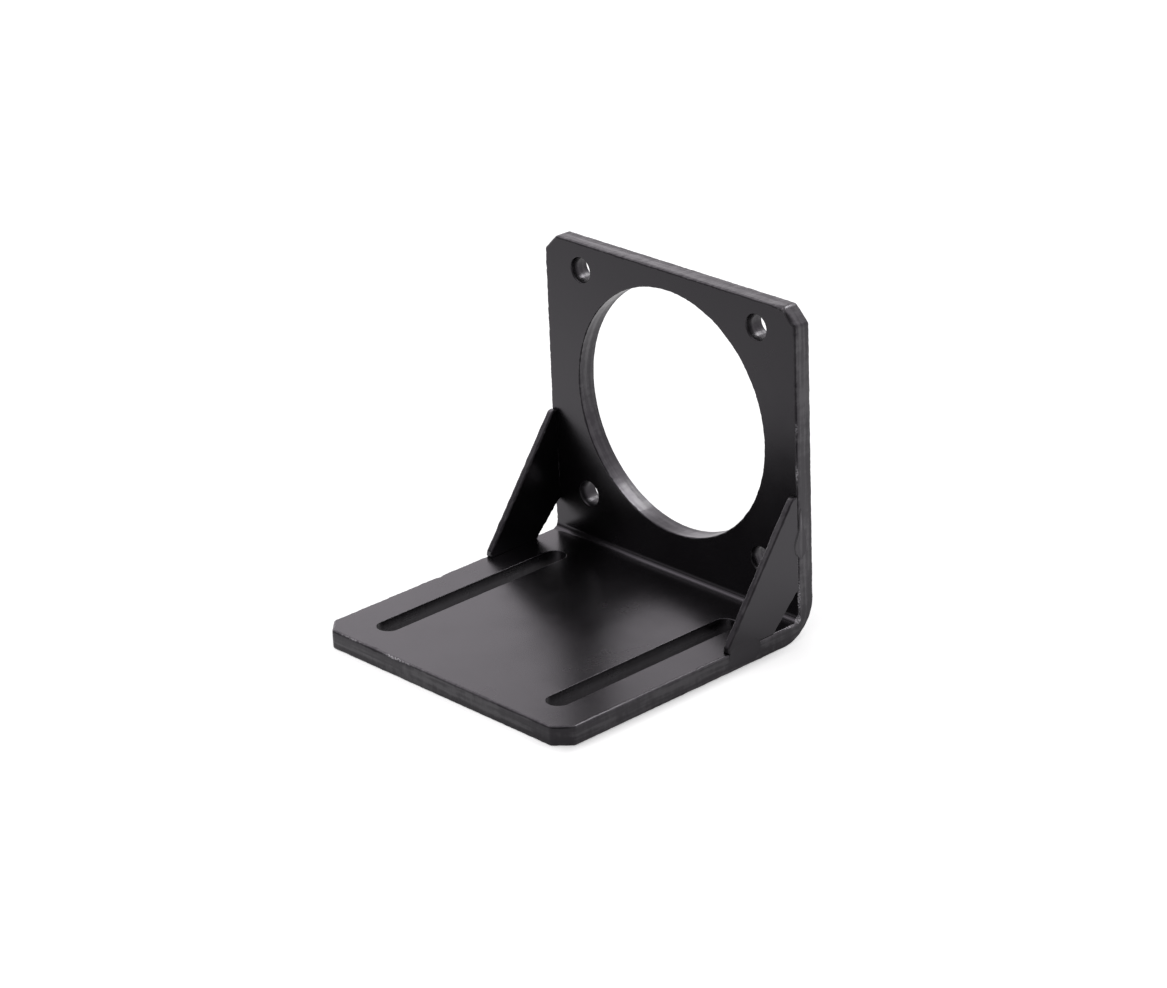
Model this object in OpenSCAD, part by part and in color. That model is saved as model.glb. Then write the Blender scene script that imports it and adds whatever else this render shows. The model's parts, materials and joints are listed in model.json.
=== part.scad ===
// Motor mounting bracket: a plate bent to a right angle, with two welded corner gussets.
// +Z is up, the motor side of the upright faces -Y and the plane x = 0 is the middle.
// The origin is at the middle of the box round the part, on the floor. Sizes are in millimetres.

/* [Plate] */
// Width of the bent plate from side to side
plate_w = 99; // [96:1:130]
// Height of the upright above the floor
plate_h = 98.5; // [97:0.5:120]
// Depth of the base from its front edge to the outer face of the upright
plate_d = 97.3; // [92:0.1:130]
// Thickness of the plate, coat included
plate_t = 5.9; // [4.5:0.1:7]
// Radius outside the bend, where the press has drawn the plate thin
bend_outer_r = 12; // [8:0.5:14]
// Radius inside the bend
bend_inner_r = 2; // [1:0.25:4]
// Length cut off each free corner, along both edges
corner_cut = 4.7; // [2:0.1:7]
// Width of the bevel that breaks the plate's edges, measured along each face
plate_bevel = 0.4; // [0.2:0.05:0.8]

/* [Motor face] */
// Diameter of the hole that the motor's centring boss enters
pilot_d = 74; // [60:0.5:80]
// Height of the motor's axis above the floor
motor_axis_h = 55.5; // [50:0.5:60]
// Diameter of the four motor bolt holes
motor_hole_d = 7; // [5:0.1:8]
// Distance between motor bolt holes, across and up
motor_hole_pitch = 69.6; // [67:0.1:72]

/* [Base slots] */
// Width of each slot
slot_w = 7.2; // [5:0.1:9]
// Length of each slot from end to end
slot_len = 70.8; // [40:0.1:74]
// Distance between the middles of the two slots
slot_pitch = 69.6; // [50:0.1:76]
// Distance from the front edge of the base to the slots
slot_front_gap = 9.2; // [8:0.1:12]

/* [Gussets] */
// Thickness of each gusset
gusset_t = 2.3; // [2:0.1:4]
// Height of the gusset on the upright, above the base's top face
gusset_rise = 38; // [25:0.5:60]
// Reach of the gusset along the base, from the motor face
gusset_run = 28.2; // [20:0.1:50]
// Width of the blunt nose and height of the blunt toe
gusset_blunt = 1.7; // [1:0.1:4]
// Length cut off the gusset's inner corner, along both edges
gusset_relief = 10; // [6:0.5:14]
// Width of the bevel that breaks the gusset's free edges
gusset_bevel = 0.25; // [0.1:0.05:0.5]

/* [Welds] */
// Height of the weld beads over the side of the bracket
weld_h = 0.6; // [0.3:0.1:1.2]
// Radius of the largest puddle in a bead
weld_r = 3.5; // [2.5:0.1:3.8]
// Distance between the puddles of a bead
weld_pitch = 2.7; // [1.5:0.1:3.5]
// Puddles in the bead up each side of the upright
upright_puddles = 5; // [2:1:6]
// Height of that bead's lowest and largest puddle
upright_weld_start = 28.3; // [20:0.1:30]
// Part of its radius that each puddle up the upright loses
upright_weld_taper = 0.1; // [0:0.01:0.12]
// Puddles in the bead along each side of the base
base_puddles = 3; // [1:1:4]
// Distance from the outer face to the first puddle of that bead
base_weld_start = 25.1; // [20:0.1:26]

/* [Hidden] */
$fn = 96;
past = 1;
half_w = plate_w / 2;
half_pitch = motor_hole_pitch / 2;
bend_flat = plate_t + bend_inner_r;
slot_mid = plate_d - slot_front_gap - slot_len / 2;
slot_straight = slot_len - slot_w;
// How far the upright's beads lean from the seam towards the outer face
weld_lean = 0.5;
// Height of the base's beads: their lower edge stays just clear of the floor
base_weld_h = weld_r + 0.9;
coat = [0.13, 0.13, 0.14];
weld_coat = [0.16, 0.16, 0.17];

// Drawing frames. In both, X runs across the bracket, Y runs away from the outer corner of the
// bend and Z runs through the plate, from its outer face to its motor side.
module upright_frame() {
    translate([0, plate_d / 2, 0])
        rotate([90, 0, 0])
            children();
}

module base_frame() {
    translate([0, plate_d / 2, 0])
        rotate([0, 0, 180])
            children();
}

// Drawing frame of the side view: X runs forward from the outer face, Y up and Z across.
module side_frame() {
    translate([0, plate_d / 2, 0])
        mirror([0, 1, 0])
            rotate([90, 0, 90])
                children();
}

// What is cut away to break a square edge with a bevel of width c. The edge is at the origin.
module edge_waste(c) {
    polygon([[-c - past, past], [past, -c - past], [past, past]]);
}

// Breaks the upper and lower edge along a straight side from p to q. The solid lies to the left.
module break_side(p, q, t, c, low_start = 0) {
    way = q - p;
    run = norm(way);
    translate([p[0], p[1], 0])
        rotate([0, 0, atan2(way[1], way[0])])
            for (side = [0, 1]) {
                start = side == 0 ? low_start : 0;
                translate([start, 0, side * t])
                    mirror([0, 0, 1 - side])
                        rotate([90, 0, 90])
                            mirror([1, 0, 0])
                                linear_extrude(run - start)
                                    edge_waste(c);
            }
}

// Breaks both edges of a round hole through a plate, or of one end of a slot.
module break_hole(hole_r, t, c, turn = 360) {
    for (side = [0, 1])
        translate([0, 0, side * t])
            mirror([0, 0, 1 - side])
                rotate_extrude(angle = turn)
                    translate([hole_r, 0])
                        mirror([1, 0])
                            edge_waste(c);
}

module hole(d, t, c) {
    translate([0, 0, -past])
        cylinder(d = d, h = t + 2 * past);
    break_hole(d / 2, t, c);
}

module slot(w, straight, t, c) {
    translate([0, 0, -past])
        linear_extrude(t + 2 * past)
            union() {
                square([w, straight], center = true);
                for (end = [-1, 1])
                    translate([0, end * straight / 2])
                        circle(d = w);
            }
    for (end = [0, 180])
        rotate([0, 0, end]) {
            translate([0, straight / 2, 0])
                break_hole(w / 2, t, c, turn = 180);
            break_side([w / 2, straight / 2], [w / 2, -straight / 2], t, c);
        }
}

// The corners cut off the free end of one leaf of the plate.
module clipped_corners(length) {
    reach = corner_cut + past;
    for (side = [0, 1])
        mirror([side, 0, 0])
            translate([half_w, length - corner_cut, -past])
                linear_extrude(plate_t + 2 * past)
                    polygon([[past, -past], [past, reach], [-reach, reach]]);
}

// The bevels round the outline of one leaf. Each face's begin where the bend ends on it.
module leaf_bevels(length) {
    corner_low = [half_w, length - corner_cut];
    corner_high = [half_w - corner_cut, length];
    for (side = [0, 1])
        mirror([side, 0, 0]) {
            break_side([half_w, bend_flat], corner_low, plate_t, plate_bevel,
                       low_start = bend_outer_r - bend_flat);
            break_side(corner_low, corner_high, plate_t, plate_bevel);
        }
    break_side(corner_high, [-corner_high[0], length], plate_t, plate_bevel);
}

// The bevels on the bend's side edges, which run round its outer and inner radius.
module bend_bevels() {
    for (side = [0, 1])
        mirror([0, 0, side]) {
            translate([bend_outer_r, bend_outer_r, half_w])
                rotate([0, 0, 180])
                    rotate_extrude(angle = 90)
                        translate([bend_outer_r, 0])
                            edge_waste(plate_bevel);
            translate([bend_flat, bend_flat, half_w])
                rotate([0, 0, 180])
                    rotate_extrude(angle = 90)
                        translate([bend_inner_r, 0])
                            mirror([1, 0])
                                edge_waste(plate_bevel);
        }
}

// The right angle seen from the side. The bend is rounder outside than inside, so it is thinner.
module bend_section() {
    difference() {
        union() {
            square([plate_d, plate_t]);
            square([plate_t, plate_h]);
            square(bend_flat);
        }
        translate([bend_flat, bend_flat])
            circle(bend_inner_r, $fn = 64);
        difference() {
            translate([-past, -past])
                square(bend_outer_r + past);
            translate([bend_outer_r, bend_outer_r])
                circle(bend_outer_r);
        }
    }
}

module bent_blank() {
    difference() {
        side_frame()
            linear_extrude(plate_w, center = true)
                bend_section();
        upright_frame()
            clipped_corners(plate_h);
        base_frame()
            clipped_corners(plate_d);
    }
}

module motor_holes() {
    upright_frame()
        translate([0, motor_axis_h, 0]) {
            hole(pilot_d, plate_t, plate_bevel);
            for (x = [-half_pitch, half_pitch], y = [-half_pitch, half_pitch])
                translate([x, y, 0])
                    hole(motor_hole_d, plate_t, plate_bevel);
        }
}

module base_slots() {
    base_frame()
        for (x = [-slot_pitch / 2, slot_pitch / 2])
            translate([x, slot_mid, 0])
                slot(slot_w, slot_straight, plate_t, plate_bevel);
}

module pierced_plate() {
    difference() {
        difference() {
            bent_blank();
            motor_holes();
        }
        base_slots();
    }
}

module bent_plate() {
    color(coat)
        difference() {
            difference() {
                pierced_plate();
                upright_frame()
                    leaf_bevels(plate_h);
                base_frame()
                    leaf_bevels(plate_d);
            }
            side_frame()
                bend_bevels();
        }
}

// A gusset seen from the side: a triangle with a blunt nose and toe, and its inner corner cut
// off clear of the bend. Its back and bottom edges stand square on the plate.
module gusset() {
    heel = [plate_t + gusset_relief, plate_t];
    toe = [plate_t + gusset_run, plate_t];
    toe_top = toe + [0, gusset_blunt];
    nose = [plate_t + gusset_blunt, plate_t + gusset_rise];
    nose_back = [plate_t, plate_t + gusset_rise];
    shoulder = [plate_t, plate_t + gusset_relief];
    free_sides = [[toe, toe_top], [toe_top, nose], [nose, nose_back], [shoulder, heel]];
    side_frame()
        translate([0, 0, half_w - gusset_t])
            difference() {
                linear_extrude(gusset_t)
                    polygon([heel, toe, toe_top, nose, nose_back, shoulder]);
                for (ends = free_sides)
                    break_side(ends[0], ends[1], gusset_t, gusset_bevel);
            }
}

module right_gusset() {
    color(coat)
        gusset();
}

module left_gusset() {
    color(coat)
        mirror([1, 0, 0])
            gusset();
}

// One puddle of weld: a low dome of radius r, standing on the plane z = 0.
module puddle(r) {
    ball_r = (r * r + weld_h * weld_h) / (2 * weld_h);
    intersection() {
        translate([0, 0, weld_h - ball_r])
            sphere(ball_r, $fn = 240);
        translate([-r - past, -r - past, 0])
            cube([2 * (r + past), 2 * (r + past), 2 * weld_h]);
    }
}

// A bead: overlapping puddles in a row along X, each smaller than the last by the taper.
module bead(count, taper) {
    for (i = [0 : count - 1])
        translate([i * weld_pitch, 0, 0])
            puddle(weld_r * (1 - taper * i));
}

// The bead up the seam between the gusset and the side of the upright, leaning on the upright.
module upright_weld() {
    side_frame()
        translate([plate_t - weld_lean, upright_weld_start, half_w])
            rotate([0, 0, 90])
                bead(upright_puddles, upright_weld_taper);
}

// The bead along the seam between the gusset and the side of the base, clear of the floor.
module base_weld() {
    side_frame()
        translate([base_weld_start, base_weld_h, half_w])
            bead(base_puddles, 0);
}

module right_upright_weld() {
    color(weld_coat)
        upright_weld();
}

module left_upright_weld() {
    color(weld_coat)
        mirror([1, 0, 0])
            upright_weld();
}

module right_base_weld() {
    color(weld_coat)
        base_weld();
}

module left_base_weld() {
    color(weld_coat)
        mirror([1, 0, 0])
            base_weld();
}

bent_plate();
left_gusset();
right_gusset();
left_upright_weld();
right_upright_weld();
left_base_weld();
right_base_weld();
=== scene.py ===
"""Motor mounting bracket: a plate bent to a right angle, two welded corner gussets, satin black coat.

Sizes are in metres in the panel and in millimetres inside the shape functions. The part's frame is
the CAD's: +Z up, the motor side of the upright faces -Y, and x = 0 is the middle.
"""

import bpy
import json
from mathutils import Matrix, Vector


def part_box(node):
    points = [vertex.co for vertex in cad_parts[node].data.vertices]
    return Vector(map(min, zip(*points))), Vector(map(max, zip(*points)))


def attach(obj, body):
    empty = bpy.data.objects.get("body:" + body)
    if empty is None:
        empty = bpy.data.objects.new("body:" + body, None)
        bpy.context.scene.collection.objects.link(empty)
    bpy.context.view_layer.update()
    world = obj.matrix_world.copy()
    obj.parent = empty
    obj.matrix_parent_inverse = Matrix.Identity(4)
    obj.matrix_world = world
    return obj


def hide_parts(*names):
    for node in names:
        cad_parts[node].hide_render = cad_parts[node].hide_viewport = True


bl_info = {
    "name": "Motor mounting bracket",
    "version": (1, 0, 0),
    "blender": (4, 5, 0),
    "location": "3D View > Sidebar > Bracket",
    "description": "Builds a bent and welded motor mounting bracket with its coat and a studio",
    "category": "Object",
}

import json
import math

import bpy
import numpy as np
from mathutils import Matrix, Vector
from mathutils.geometry import delaunay_2d_cdt

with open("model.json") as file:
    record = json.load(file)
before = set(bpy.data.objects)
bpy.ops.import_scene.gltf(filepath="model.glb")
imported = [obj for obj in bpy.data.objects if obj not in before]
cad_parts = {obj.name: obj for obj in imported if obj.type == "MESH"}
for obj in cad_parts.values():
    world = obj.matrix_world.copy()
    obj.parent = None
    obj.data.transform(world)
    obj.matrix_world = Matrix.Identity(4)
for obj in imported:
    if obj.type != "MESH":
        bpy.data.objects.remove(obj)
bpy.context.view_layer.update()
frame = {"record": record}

MM = 0.001
# The edge mask (first name) also carries painted highlights: the glints on the rims and the highlight on the
# weld beads.
MASKS = ("cut_edge", "wall", "torn")
HANDS = (("left", True), ("right", False))
MOUNTS = {mount["name"]: mount for mount in frame["record"]["mounts"]}
PLATE_LOW, PLATE_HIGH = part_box("bent_plate")
GUSSET_LOW, GUSSET_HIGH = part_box("right_gusset")
WELD_LOW, WELD_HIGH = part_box("right_upright_weld")
BASE_WELD_LOW, BASE_WELD_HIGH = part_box("right_base_weld")


def mount_size(mount, size):
    """A size of one of the record's mounts, in metres."""
    return MOUNTS[mount]["dims"][size] * MM


def number(name, default, about, **limits):
    return bpy.props.FloatProperty(name=name, default=default, description=about, **limits)


def offset(name, default, about):
    return number(name, default, about, unit="LENGTH", precision=5)


def length(name, default, about):
    return number(name, default, about, unit="LENGTH", precision=5, min=0)


def angle(name, degrees, about):
    return number(name, math.radians(degrees), about, unit="ROTATION")


def share(name, default, about):
    return number(name, default, about, min=0, max=1, subtype="FACTOR")


def colour(name, default, about):
    return bpy.props.FloatVectorProperty(name=name, default=default, size=3, min=0, max=1,
                                         subtype="COLOR", description=about)


class PlateSizes(bpy.types.PropertyGroup):
    """Sizes of the bent plate."""

    width: length("Width", PLATE_HIGH.x - PLATE_LOW.x, "From side to side")
    height: length("Height", PLATE_HIGH.z, "Top of the upright above the floor")
    depth: length("Depth", PLATE_HIGH.y - PLATE_LOW.y, "Front of the base to the outer face")
    thickness: length("Thickness", PLATE_HIGH.y - GUSSET_HIGH.y, "Plate with its coat")
    bend_outside: length("Bend outside", 0.012, "Radius outside the bend")
    bend_inside: length("Bend inside", 0.002, "Radius inside the bend")
    corner_cut: length("Corner cut", 0.0047, "Length clipped off each free corner")
    corner_blend: length("Corner blend", 0.0017, "Radius where a side meets a clipped corner")
    edge_round: length("Edge round", 0.00066, "Radius that the coat leaves on the cut edges")
    pilot_radius: length("Motor boss hole radius", mount_size("pilot_hole", "r_mm"),
                         "Hole for the motor's centring boss")
    axis_height: length("Motor axis height", MOUNTS["pilot_hole"]["pos_m"][2], "Above the floor")
    bolt_radius: length("Bolt hole radius", mount_size("motor_holes", "hole_r_mm"),
                        "The four motor bolt holes")
    bolt_pitch: length("Bolt hole pitch", mount_size("motor_holes", "spacing_x_mm"), "Across and up")
    slot_radius: length("Slot half width", mount_size("base_slots", "hole_r_mm"),
                        "Half the width of a base slot")
    slot_length: length("Slot length", mount_size("base_slots", "slot_length_mm"), "From end to end")
    slot_pitch: length("Slot pitch", mount_size("base_slots", "spacing_x_mm"),
                       "Between the middles of the slots")
    slot_middle: offset("Slot middle", MOUNTS["base_slots"]["pos_m"][1],
                        "Place of the slots' middle along Y")


class GussetSizes(bpy.types.PropertyGroup):
    """Sizes of the two gussets."""

    thickness: length("Thickness", GUSSET_HIGH.x - GUSSET_LOW.x, "Sheet with its coat")
    rise: length("Rise", GUSSET_HIGH.z - GUSSET_LOW.z, "Up the motor face, from the base")
    run: length("Run", GUSSET_HIGH.y - GUSSET_LOW.y, "Along the base, from the motor face")
    blunt: length("Blunt ends", 0.0017, "Width of the nose and height of the toe")
    relief: length("Corner relief", 0.010, "Length cut off the inner corner")
    edge_round: length("Edge round", 0.00060, "Radius on the free edges")


class WeldSizes(bpy.types.PropertyGroup):
    """Sizes of the four weld beads."""

    height: length("Height", WELD_HIGH.x - PLATE_HIGH.x, "Of the beads over the side")
    pitch: length("Puddle pitch", 0.0027, "Between the puddles of the base bead")
    neck: share("Neck", 0.3, "Part of its width that the upright bead keeps above its belly")


class CoatLook(bpy.types.PropertyGroup):
    """The black coat."""

    colour: colour("Coat", (0.0008, 0.0007, 0.0009), "Colour of the coat")
    # The rubbed colour also paints the painted highlights: the glints on the edges and the highlight on the
    # welds.
    rubbed: colour("Rubbed coat", (0.42, 0.405, 0.43), "Coat thinned over steel at nicks")
    tint: colour("Reflection tint", (0.965, 0.915, 1.0), "Colour that the coat gives reflections")
    roughness: share("Face roughness", 0.215, "Of the plate's flat faces")
    gusset_roughness: share("Gusset roughness", 0.295, "Of the gussets' flat faces")
    cut_roughness: share("Cut edge roughness", 0.28, "Of the cut edges")
    weld_roughness: share("Weld roughness", 0.28, "Of the weld beads")
    cut_depth: length("Cut marks", 0.00005, "Depth of the marks on the cut edges")
    reflection: number("Index of refraction", 1.6, "How strongly the coat mirrors", min=1, max=2.5)


class StudioLook(bpy.types.PropertyGroup):
    """Floor, light and camera."""

    floor: colour("Floor", (0.85, 0.84, 0.85), "Colour of the floor")
    # The floor's darker colour in reflections is painted shade.
    floor_mirrored: colour("Mirrored floor", (0.35, 0.335, 0.35), "Its colour in reflections")
    sky_mirrored: colour("Mirrored backdrop", (1, 0.955, 1), "Tint of the backdrop in reflections")
    fill: number("Fill", 0.75, "Light from all round", min=0)
    top_power: number("Top box", 4.0, "Soft box over the bracket", min=0, unit="POWER")
    lens: number("Lens", 118.63, "In millimetres", min=1)
    azimuth: angle("Azimuth", 47.23, "Camera to the right of the motor side")
    elevation: angle("Elevation", 23.42, "Camera above the floor")
    roll: angle("Roll", -2.32, "Tilt of the camera")
    shift_across: offset("Across", -0.00715, "Aim point to the right of the middle")
    shift_up: offset("Up", -0.00471, "Aim point above the middle")
    distance: length("Distance", 1.06691, "Camera to the bracket")


# Unevenness, rims and faces that the plate and the gussets share, with steps in millimetres

WAVES = 18
OUTLINE_STEP = 0.34
LARGE_HOLE_STEP = 0.5
SMALL_STEP = 0.3


def unevenness(run, loop, pitch, seed):
    """Unevenness along a closed loop, about -1 to 1: a sum of sines whose wavelengths lie between
    0.4 and 3 times the pitch and go a whole number of times into the loop, with seeded phases."""
    random = np.random.default_rng(seed)
    wavelengths = pitch * random.uniform(0.4, 3, WAVES)
    times = np.unique(np.maximum(1, np.round(loop / wavelengths)))
    phases = random.uniform(0, 2 * np.pi, len(times))
    turn = 2 * np.pi * np.asarray(run)[..., None] / loop
    return np.sin(turn * times + phases).sum(-1) / np.sqrt(len(times))


def smooth(t):
    """The smooth step t^2 (3 - 2 t), held at 0 below t = 0 and at 1 above t = 1."""
    t = np.clip(t, 0, 1)
    return t * t * (3 - 2 * t)


def unit(vectors):
    """The vectors brought to length 1."""
    return vectors / np.maximum(np.linalg.norm(vectors, axis=-1, keepdims=True), 1e-12)


def together(*values):
    """The values brought to one shape and put side by side as the last axis."""
    return np.stack(np.broadcast_arrays(*values), -1)


def with_humps(values, points, humps):
    """Values along a closed outline, with a hump (point, width, gain) added at each of the places:
    gain times the bell exp(-(distance / width)^2) of the distance along the outline."""
    run, loop = running_length(points)
    for place, width, gain in humps:
        spot = ((points - place) ** 2).sum(1).argmin()
        gap = np.abs(run - run[spot])
        values = values + gain * np.exp(-(np.minimum(gap, loop - gap) / width) ** 2)
    return values


def straight(start, end, spacing, stops):
    """Points of a straight side, its end left out: start + t (end - start), with t spaced evenly
    between the stops, so that a point falls on each of them."""
    size = np.hypot(*(end - start))
    if size < 1e-9:
        return np.zeros((0, 2))
    knots = np.concatenate([[0.0], np.sort(stops), [1.0]])
    counts = np.maximum(1, np.ceil(np.diff(knots) * size / spacing - 1e-9)).astype(int)
    marks = np.concatenate([[0], np.cumsum(counts)])
    t = np.interp(np.arange(marks[-1]), marks, knots)
    return start + t[:, None] * (end - start)


def outline(corners, radius, spacing, rows=(), hole=False):
    """A closed outline with rounded corners, as points and outward normals. The solid lies to the
    left of the way round, so a hole goes clockwise. A corner is an arc of the radius that touches
    both sides: centre + radius (cos, sin). Long sides along s also get a point on each of the rows."""
    corners = np.asarray(corners, float)
    way = np.roll(corners, -1, 0) - corners
    way /= np.hypot(way[:, 0], way[:, 1])[:, None]
    normal = np.stack([way[:, 1], -way[:, 0]], 1)
    before = np.roll(normal, 1, 0)
    sign = -1.0 if hole else 1.0
    radius = np.broadcast_to(np.asarray(radius, float), len(corners))
    share_out = radius / (1 + (normal * before).sum(1))
    centre = corners - sign * (normal + before) * share_out[:, None]
    leave = centre + sign * radius[:, None] * normal
    arrive = centre + sign * radius[:, None] * before
    points = []
    normals = []
    for i in range(len(corners)):
        a0 = math.atan2(before[i, 1], before[i, 0])
        swing = math.atan2(before[i, 0] * normal[i, 1] - before[i, 1] * normal[i, 0],
                           (before[i] * normal[i]).sum())
        steps = max(2, math.ceil(abs(swing) * max(radius[i], spacing) / spacing))
        angle = a0 + swing * np.arange(steps) / steps
        fan = np.stack([np.cos(angle), np.sin(angle)], 1)
        points.append(centre[i] + sign * radius[i] * fan)
        normals.append(fan)
        end = arrive[(i + 1) % len(corners)]
        stops = ()
        if len(rows) and abs(way[i, 0]) < 1e-6:
            stops = (np.asarray(rows) - leave[i, 1]) / (end[1] - leave[i, 1])
        side = straight(leave[i], end, spacing, stops)
        points.append(side)
        normals.append(np.repeat(normal[i:i + 1], len(side), 0))
    return np.concatenate(points), np.concatenate(normals)


def ring(centre, radius, spacing):
    """A round hole's outline, clockwise: centre + radius (cos a, sin a) with a falling. The normals
    point to the centre, out of the solid."""
    steps = math.ceil(2 * np.pi * radius / spacing)
    angle = -2 * np.pi * np.arange(steps) / steps
    fan = np.stack([np.cos(angle), np.sin(angle)], 1)
    return np.asarray(centre) + radius * fan, -fan


def running_length(points):
    """How far each point lies along a closed outline, and the outline's whole length."""
    step = np.hypot(*(np.roll(points, -1, 0) - points).T)
    return np.concatenate([[0], np.cumsum(step)[:-1]]), step.sum()


class Rim:
    """The cut edge between the two faces of a sheet, round one outline. Across the sheet it is a
    quarter round (sink times as deep as it is wide), a wall and a quarter round. Beyond the uneven
    tear line, a share of the thickness, the wall sinks in by tear (0.55 + 0.9 (level - line) + 0.16
    drag), the slope that shearing leaves. Nicks (point, width, gain) widen the near round. Painted
    glints (point, width, gain) are painted highlights: they lift the edge mask over 1 on both
    edges, so that the coat takes the lighter rubbed colour there, and widen the far round a little.
    Grain is how strongly the marks of the cut show."""

    ROUND_STEPS = 4
    WALL_STEPS = 8
    TEAR_LINE = 0.52
    TEAR_BLEND = 0.12
    DRAG_SLANT = 0.25
    RIPPLE = 0.006
    GLINT_WIDENING = 0.03

    def __init__(self, points, normals, thickness, near, far, seed, tear=0.07, waver=0.10, nicks=(),
                 sink=1.0, painted_glints=(), grain=1.0):
        run, loop = running_length(points)
        quarter = np.linspace(0, np.pi / 2, self.ROUND_STEPS + 1)
        wall = np.linspace(0, 1, self.WALL_STEPS + 1)[1:-1]
        near = near * (1 + waver * unevenness(run, loop, pitch=5.0, seed=seed))
        near = near * (1 + 0.7 * waver * unevenness(run, loop, pitch=0.9, seed=seed + 1))
        near = with_humps(near, points, nicks)[:, None]
        # Painted highlights: glint gains that lift the edge mask over 1.
        glint_spots = with_humps(np.ones(len(points)), points, painted_glints)[:, None]
        far = far * (1 + waver * unevenness(run, loop, pitch=4.0, seed=seed + 2))
        far = far[:, None] + self.GLINT_WIDENING * (glint_spots - 1)
        thick = thickness(points[:, 1])[:, None]
        inset = np.concatenate([near * (1 - np.sin(quarter)),
                                np.zeros((len(points), len(wall))),
                                far * (1 - np.cos(quarter))], 1)
        self.depth = np.concatenate([sink * near * (1 - np.cos(quarter)),
                                     sink * near + (thick - sink * near - far) * wall,
                                     thick - far * (1 - np.sin(quarter))], 1)
        level = self.depth / thick
        line = self.TEAR_LINE + 0.05 * unevenness(run, loop, pitch=6.0, seed=seed + 3)[:, None]
        self.torn = smooth((level - line) / self.TEAR_BLEND)
        slanted = run[:, None] + self.DRAG_SLANT * self.depth
        drag = unevenness(slanted, loop, pitch=1.1, seed=seed + 4)
        inset = inset + tear * self.torn * (0.55 + 0.9 * (level - line) + 0.16 * drag)
        inset = np.maximum(inset + self.RIPPLE * (1 - self.torn) * (1 + drag), 0)
        self.flat = points[:, None] - normals[:, None] * inset[..., None]
        round_mask = np.sin(2 * quarter)
        self.edge = glint_spots * np.concatenate([round_mask, 0 * wall, round_mask])
        wall_mask = grain * np.concatenate([np.sin(quarter), np.ones(len(wall)), np.cos(quarter)])
        self.wall = np.broadcast_to(wall_mask, inset.shape)


def grid_faces(rows, columns, closed):
    """Quads of a grid of rows by columns points, closed round its rows or not."""
    a = np.arange(rows if closed else rows - 1)[:, None]
    b = np.arange(columns - 1)[None, :]
    nxt = (a + 1) % rows
    quads = together(a * columns + b, a * columns + b + 1, nxt * columns + b + 1, nxt * columns + b)
    return quads.reshape(-1, 4)


def grid_normals(points, closed):
    """Unit normals of a grid of points: the cross product of its two central differences."""
    if closed:
        along = np.roll(points, -1, 0) - np.roll(points, 1, 0)
    else:
        along = np.gradient(points, axis=0)
    across = np.gradient(points, axis=1)
    return unit(np.cross(across, along))


def inside(points, loop):
    """Which points lie inside a closed loop: a ray to the right crosses it an odd number of times."""
    start = loop[None]
    end = np.roll(loop, -1, 0)[None]
    px, py = points[:, :1], points[:, 1:]
    spans = (start[..., 1] > py) != (end[..., 1] > py)
    rise = np.where(spans, end[..., 1] - start[..., 1], 1.0)
    cross = start[..., 0] + (py - start[..., 1]) / rise * (end[..., 0] - start[..., 0])
    return (spans & (px < cross)).sum(1) % 2 == 1


def fill(loops):
    """Triangles that fill the first loop and leave the others open, anticlockwise, by a
    constrained Delaunay triangulation of the loops' own points."""
    points = np.concatenate(loops)
    edges = []
    start = 0
    for loop in loops:
        index = np.arange(len(loop))
        edges.append(np.stack([start + index, start + (index + 1) % len(loop)], 1))
        start += len(loop)
    convex_hull, tolerance = 0, 1e-7
    made = delaunay_2d_cdt([Vector(p) for p in points.tolist()], np.concatenate(edges).tolist(),
                           [], convex_hull, tolerance, True)
    flat = np.array([tuple(p) for p in made[0]])
    if len(flat) != len(points):
        raise RuntimeError(f"a face was filled with {len(flat)} points in place of {len(points)}")
    order = np.array([ids[0] for ids in made[3]])
    triangles = np.array([t for t in made[2] if len(t) == 3])
    middle = flat[triangles].mean(1)
    keep = inside(middle, loops[0])
    for loop in loops[1:]:
        keep &= ~inside(middle, loop)
    triangles = triangles[keep]
    a, b, c = (flat[triangles[:, i]] for i in range(3))
    area = (b[:, 0] - a[:, 0]) * (c[:, 1] - a[:, 1]) - (b[:, 1] - a[:, 1]) * (c[:, 0] - a[:, 0])
    triangles = np.where((area > 0)[:, None], triangles, triangles[:, ::-1])
    return order[triangles]


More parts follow.
